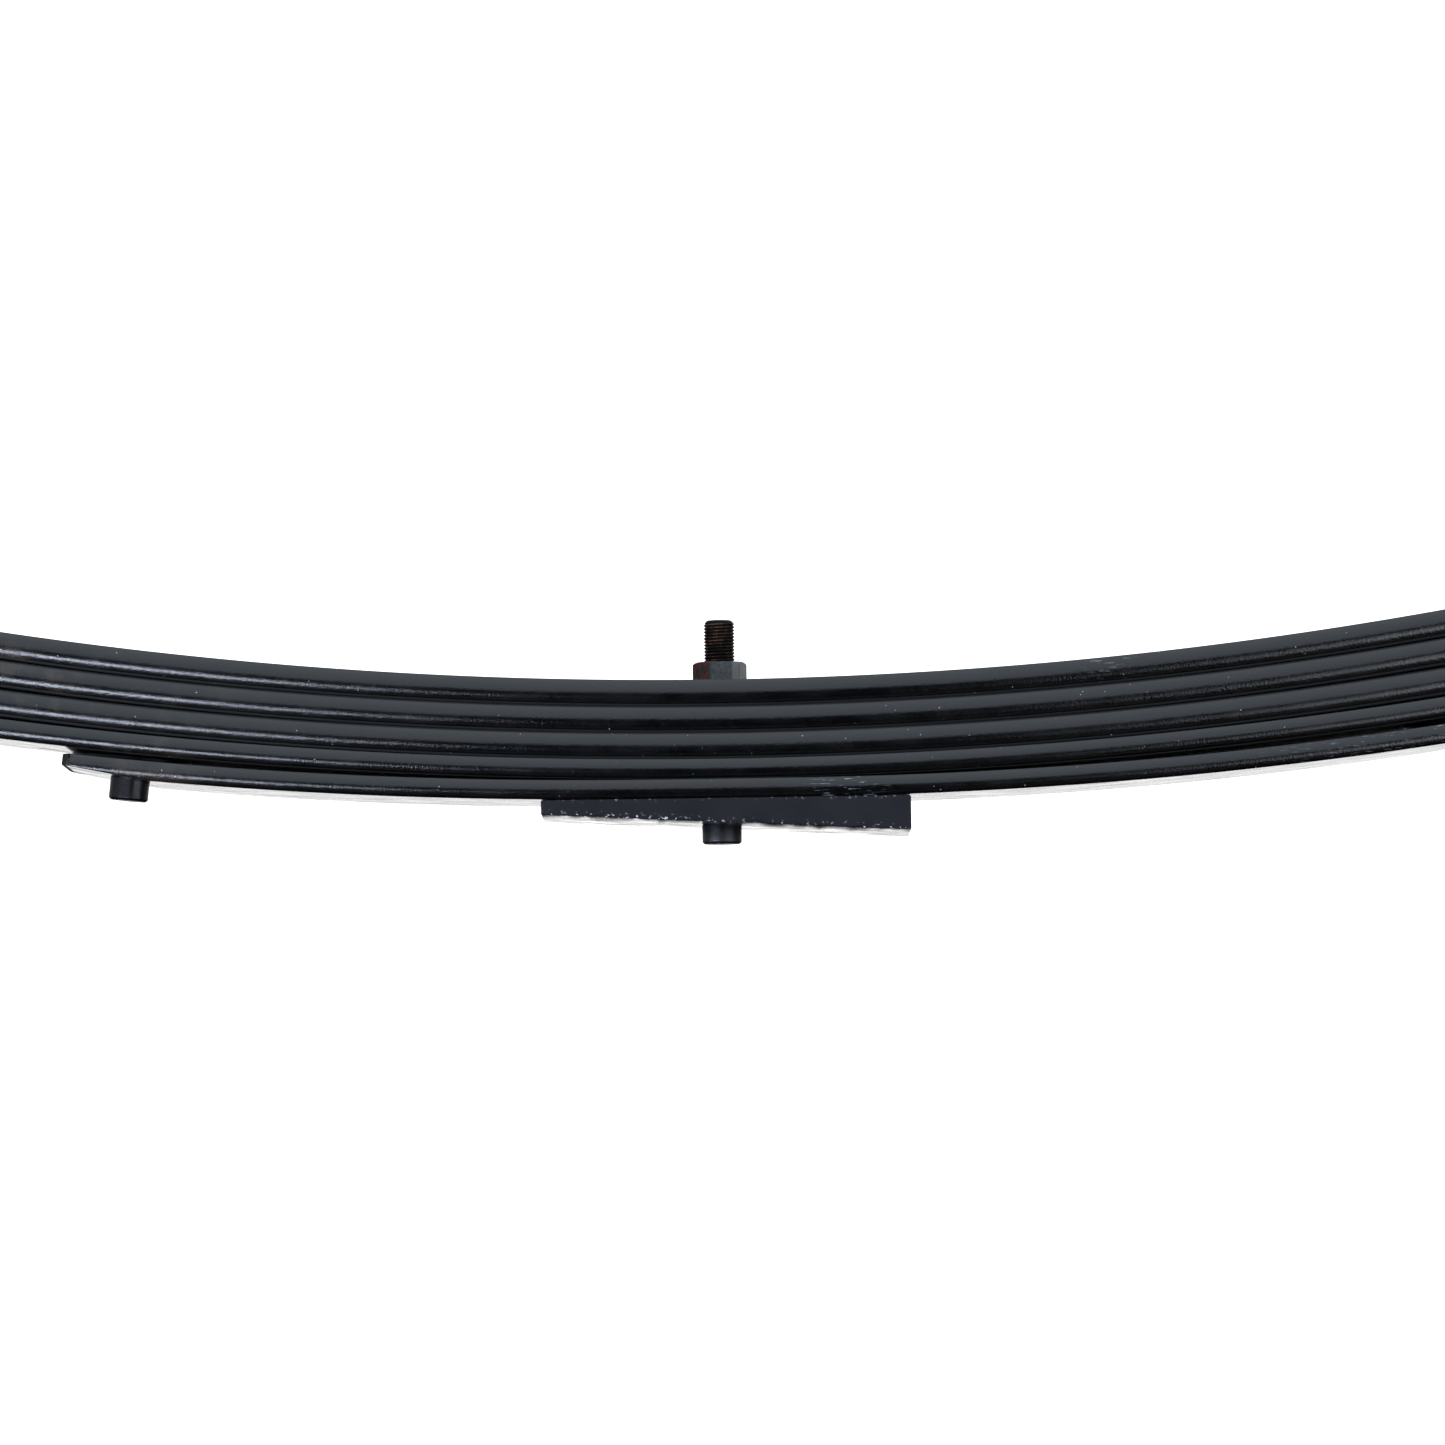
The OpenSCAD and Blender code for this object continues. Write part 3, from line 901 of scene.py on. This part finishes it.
EYE_TURNS = 96
SLEEVE_R = 10.0
FLANGE_R = 23.0
FLANGE_T = 4.7
BUSH_BORE_R = 10.05
BUSH_BODY_R = 17.9


def eye_place(side):
    centre = Vector(MOUNTS[side + "_eye"]["pos_m"]) / MM
    return Matrix.Translation(centre) @ Matrix.Rotation(-math.pi / 2, 4, "X")


def eye_bushes(side):
    """Two flanged rubber bushes, pressed in from either side of the eye."""
    seat = LEAF_W / 2 + 0.3
    face = seat + FLANGE_T
    groove = face - 0.8
    outline = [(BUSH_BORE_R, 1.0), (BUSH_BODY_R, 1.0), (BUSH_BODY_R, seat), (FLANGE_R, seat),
               (FLANGE_R, seat + FLANGE_T * 0.7), (FLANGE_R - 1.8, face), (15.6, face), (14.8, groove),
               (13.6, groove), (12.8, face), (BUSH_BORE_R, face)]
    verts, faces = lathe(rounded(outline, 0.6, steps=4), EYE_TURNS)
    mirrored = [(x, y, -z) for x, y, z in verts]
    shape = joined((verts, faces), (mirrored, [tuple(reversed(f)) for f in faces]))
    obj = whole_piece(f"{side}_eye_bushes", "moulded", shape, "bush_rubber", eye_place(side))
    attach(obj, f"{side}_outer")


def eye_sleeve(side):
    """The crush sleeve, a tube faced and chamfered at both ends."""
    dims = MOUNTS[side + "_eye"]["dims"]
    outer, inner, half = SLEEVE_R, dims["r_mm"], dims["length_mm"] / 2
    outline = [(inner + 0.5, -half), (outer - 0.6, -half), (outer, 0.6 - half), (outer, half - 0.6),
               (outer - 0.6, half), (inner + 0.5, half), (inner, half - 0.5), (inner, 0.5 - half)]
    shape = lathe(rounded(outline, 0.25, steps=2), EYE_TURNS)
    obj = whole_piece(f"{side}_eye_sleeve", "turned", shape, "sleeve_zinc", eye_place(side))
    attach(obj, f"{side}_sleeve")


# Rebound clips, each in a frame on the third leaf's lower face

STRAP_W = 32.0
STRAP_T = 5.0
STRAP_IN = LEAF_W + 3.0
STRAP_BEND_R = 7.0
STRAP_SIDE = STRAP_IN / 2 + STRAP_T
SPACER_R = 8.0
CLEAR = 0.3
CLIP_BOLT_R = 4.9
CLIP_NUT_H = 8.0
CLIP_HEAD_H = 6.4
CLIP_AF = 16.0
CLIP_SPARE = 3.0
CLIP_THREAD = CLIP_NUT_H + CLIP_SPARE + 4
CLIP_CHAMFER = 1.2


def clip_place(side):
    x = CLIP_X[side]
    return set_on_leaf(x, low_z(2, x), slope_at(2, x, TOP_R[2] + THICK[2]), side)


def clip_bolt_z(side):
    x = CLIP_X[side]
    return top_z(0, x) - low_z(2, x) + SPACER_R + 2


def strap_path(side):
    """(across, up, normal angle) along the strap's middle, from one end round to the other."""
    bend_r = STRAP_BEND_R - STRAP_T / 2
    base = -STRAP_T - CLEAR
    wall = STRAP_IN / 2 + STRAP_T / 2
    top = clip_bolt_z(side) + STRAP_W / 2
    right = [(wall, z, 0.0) for z in strap_stops(top, base + STRAP_BEND_R)]
    for k in range(1, 9):
        a = math.pi / 2 * k / 8
        right.append((wall - bend_r * (1 - math.cos(a)), base + STRAP_BEND_R - bend_r * math.sin(a), -a))
    right.append((0.0, base + STRAP_T / 2, -math.pi / 2))
    left = [(-y, z, -math.pi - a) for y, z, a in reversed(right[:-1])]
    return right + left


def strap_stops(top, bottom):
    """Heights down one leg, close together round the curved end."""
    curve = [top - STRAP_W / 2 * (1 - math.cos(math.pi / 2 * k / 12)) for k in range(12)]
    straight = [top - STRAP_W / 2 + (bottom - top + STRAP_W / 2) * k / 8 for k in range(9)]
    return curve + straight


def clip_strap(side):
    """The bent strap, whose ends are rounded about the bolt."""
    centre = clip_bolt_z(side)
    rings = []
    for y, z, angle in strap_path(side):
        above = max(0.0, z - centre)
        half = max(0.4, math.sqrt(max(0.0, (STRAP_W / 2) ** 2 - above**2)))
        thick = STRAP_T / 2
        corners = [(half, thick), (-half, thick), (-half, -thick), (half, -thick)]
        out = Vector((0, math.cos(angle), math.sin(angle)))
        ring = []
        for x, n in rounded(corners, min(0.9, half * 0.5), steps=3):
            ring.append(Vector((x, y, z)) + out * n)
        rings.append(ring)
    obj = whole_piece(f"{side}_clip_strap", "painted", skin(rings), "clip_paint", clip_place(side))
    back = clip_place(side).inverted()

    def wear(point):
        local = back @ point
        above = max(0.0, local.z - centre)
        half = math.sqrt(max(0.1, (STRAP_W / 2) ** 2 - above**2))
        return max(0.0, 1 - (half - abs(local.x)) / 1.2)

    paint_points(obj, "wear", wear)
    bend_in_zone(obj)


def clip_rivet(side):
    """A rivet whose dome shows under the strap."""
    under = -STRAP_T - 2 * CLEAR
    dome_r, dome_h, shank_r, cone = 9.0, 4.5, 4.9, 3.0
    sphere_r = (dome_r**2 + dome_h**2) / (2 * dome_h)
    outline = []
    for k in range(13):
        a = math.asin(dome_r / sphere_r) * k / 12
        outline.append((max(0.3, sphere_r * math.sin(a)), under - dome_h + sphere_r * (1 - math.cos(a))))
    outline += [(shank_r, under), (shank_r, THICK[2] - cone), (shank_r + cone - CLEAR, THICK[2] - CLEAR),
                (0.3, THICK[2] - CLEAR)]
    obj = whole_piece(f"{side}_clip_rivet", "domed", lathe(outline), "clip_paint", clip_place(side))
    paint_points(obj, "wear", lambda point: 0.35)
    bend_in_zone(obj)


def across(side):
    """Frame on the clip bolt's axis, with Z towards -Y where its head lies."""
    lifted = clip_place(side) @ Matrix.Translation((0, 0, clip_bolt_z(side)))
    return lifted @ Matrix.Rotation(math.pi / 2, 4, "X")


def clip_bolt(side):
    """A hexagon bolt across the strap, threaded towards +Y for its nut."""
    start = -STRAP_SIDE - CLIP_NUT_H - CLIP_SPARE
    rows = [(start, 0.3), (start + 0.02, 2.0), (start + 0.1, CLIP_BOLT_R - 1.4)]
    thread = threaded_rows(0.1, CLIP_THREAD, CLIP_BOLT_R, CLIP_CHAMFER)
    rows += [(start + CLIP_THREAD - z + 0.1, reach) for z, reach in reversed(thread)]
    rows += [(start + CLIP_THREAD + 0.2, CLIP_BOLT_R), (STRAP_SIDE + 1, CLIP_BOLT_R)]
    verts, faces = hex_body(CLIP_AF, CLIP_HEAD_H, 0)
    head = (placed(verts, Matrix.Translation((0, 0, STRAP_SIDE))), faces)
    shape = joined(surface_of_rows(rows, 64), head)
    obj = whole_piece(f"{side}_clip_bolt", "plated", shape, "clip_zinc", across(side), sharp=28)
    bend_in_zone(obj)


def clip_nut(side):
    place = across(side) @ Matrix.Translation((0, 0, -STRAP_SIDE)) @ Matrix.Rotation(math.pi, 4, "X")
    shape = hex_body(CLIP_AF, CLIP_NUT_H, CLIP_BOLT_R + 0.05)
    obj = whole_piece(f"{side}_clip_nut", "plated", shape, "clip_zinc", place, sharp=24)
    bend_in_zone(obj)


def clip_spacer(side):
    half = (STRAP_IN - CLEAR) / 2
    bore = CLIP_BOLT_R + 0.25
    outline = [(bore, -half), (SPACER_R, -half), (SPACER_R, half), (bore, half)]
    shape = lathe(rounded(outline, 0.5), 72)
    obj = whole_piece(f"{side}_clip_spacer", "cut", shape, "clip_zinc", across(side))
    bend_in_zone(obj)


# Studio, in metres

FLOOR_LEVEL = -0.85
FLOOR_REACH = 30.0
CAMERA_SPOT = (0.0006, -4.235, -0.1731)
CAMERA_AIM = (0.0008, -LEAF_W / 2 * MM, 0.0379)
CAMERA_ROLL = math.radians(-0.85)
CAMERA_FIELD = math.radians(7.48)
SENSOR_MM = 36


def area_light(name, place, aim, size, power, color):
    data = bpy.data.lights.new(name, "AREA")
    data.shape = "RECTANGLE"
    data.size, data.size_y = size
    data.energy = power
    data.color = color
    light = bpy.data.objects.new(name, data)
    light.location = place
    light.rotation_euler = (Vector(aim) - Vector(place)).to_track_quat("-Z", "Y").to_euler()
    bpy.context.scene.collection.objects.link(light)


def studio():
    """A pale floor, a surround that is bright overhead and behind and dark below, and three soft lights."""
    world = bpy.data.worlds.new("studio")
    bpy.context.scene.world = world
    world.use_nodes = True
    sky = Nodes(world.node_tree)
    along = sky.split(sky.add("ShaderNodeTexCoord").outputs["Generated"])
    backdrop = sky.ramp(sky.math("ABSOLUTE", along["X"]), 0.30, 0.60, 1.8, 0.5)
    backdrop = sky.ramp(along["Z"], 0.13, 0.35, backdrop, 0.6)
    behind = sky.ramp(along["Z"], -0.30, -0.06, 0.03, backdrop)
    overhead = sky.ramp(along["Z"], 0.10, 0.95, 1.75, 2.3)
    before = sky.ramp(along["Z"], 0.01, 0.07, 0.01, overhead)
    rearward = sky.ramp(along["Y"], -0.25, 0.25)
    background = world.node_tree.nodes["Background"]
    sky.put(background.inputs["Color"], sky.mix(rearward, (0.84, 0.95, 1.08), (1, 0.995, 1)))
    sky.put(background.inputs["Strength"], sky.ramp(along["Y"], -0.25, 0.25, before, behind))

    mesh = bpy.data.meshes.new("floor")
    signs = ((-1, -1), (1, -1), (1, 1), (-1, 1))
    corners = [(x * FLOOR_REACH, y * FLOOR_REACH, FLOOR_LEVEL) for x, y in signs]
    mesh.from_pydata(corners, [], [(0, 1, 2, 3)])
    floor = bpy.data.objects.new("floor", mesh)
    s = Shader("floor", 0.9, Specular_IOR_Level=0.2)
    mesh.materials.append(s.finish((0.86, 0.86, 0.86)))
    bpy.context.scene.collection.objects.link(floor)
    floor.visible_glossy = False
    floor.visible_diffuse = False

    area_light("left_box", (-0.575, -0.5, -0.18), (-0.45, 0, 0.04), (0.74, 0.075), 5.2, (0.86, 0.93, 1.12))
    area_light("right_box", (0.86, -0.9, -0.30), (0.3, 0, 0.04), (1.1, 0.42), 7.5, (0.93, 0.97, 1.06))
    area_light("low_strip", (0, -0.8, -0.72), (0, 0, 0.04), (2.4, 0.04), 0.25, (0.97, 0.98, 1.03))


def camera():
    """A long lens in front of the spring and a little below it, looking at the clamped middle."""
    data = bpy.data.cameras.new("camera")
    data.sensor_width = SENSOR_MM
    data.lens = SENSOR_MM / 2 / math.tan(CAMERA_FIELD / 2)
    data.clip_end = 100
    cam = bpy.data.objects.new("camera", data)
    view = Vector(CAMERA_AIM) - Vector(CAMERA_SPOT)
    turn = view.to_track_quat("-Z", "Y").to_matrix() @ Matrix.Rotation(CAMERA_ROLL, 3, "Z")
    cam.location = CAMERA_SPOT
    cam.rotation_euler = turn.to_euler()
    bpy.context.scene.collection.objects.link(cam)
    bpy.context.scene.camera = cam
    bpy.context.scene.view_settings.view_transform = "Standard"


camera()
studio()
for side in SIDES:
    for i in range(len(LEAVES)):
        build_leaf(i, side)
    for i in range(1, len(LEAVES)):
        tip_pad(i, side)
    eye_bushes(side)
    eye_sleeve(side)
    clip_strap(side)
    clip_rivet(side)
    clip_bolt(side)
    clip_nut(side)
    clip_spacer(side)
centre_bolt()
centre_nut()
degree_shim()
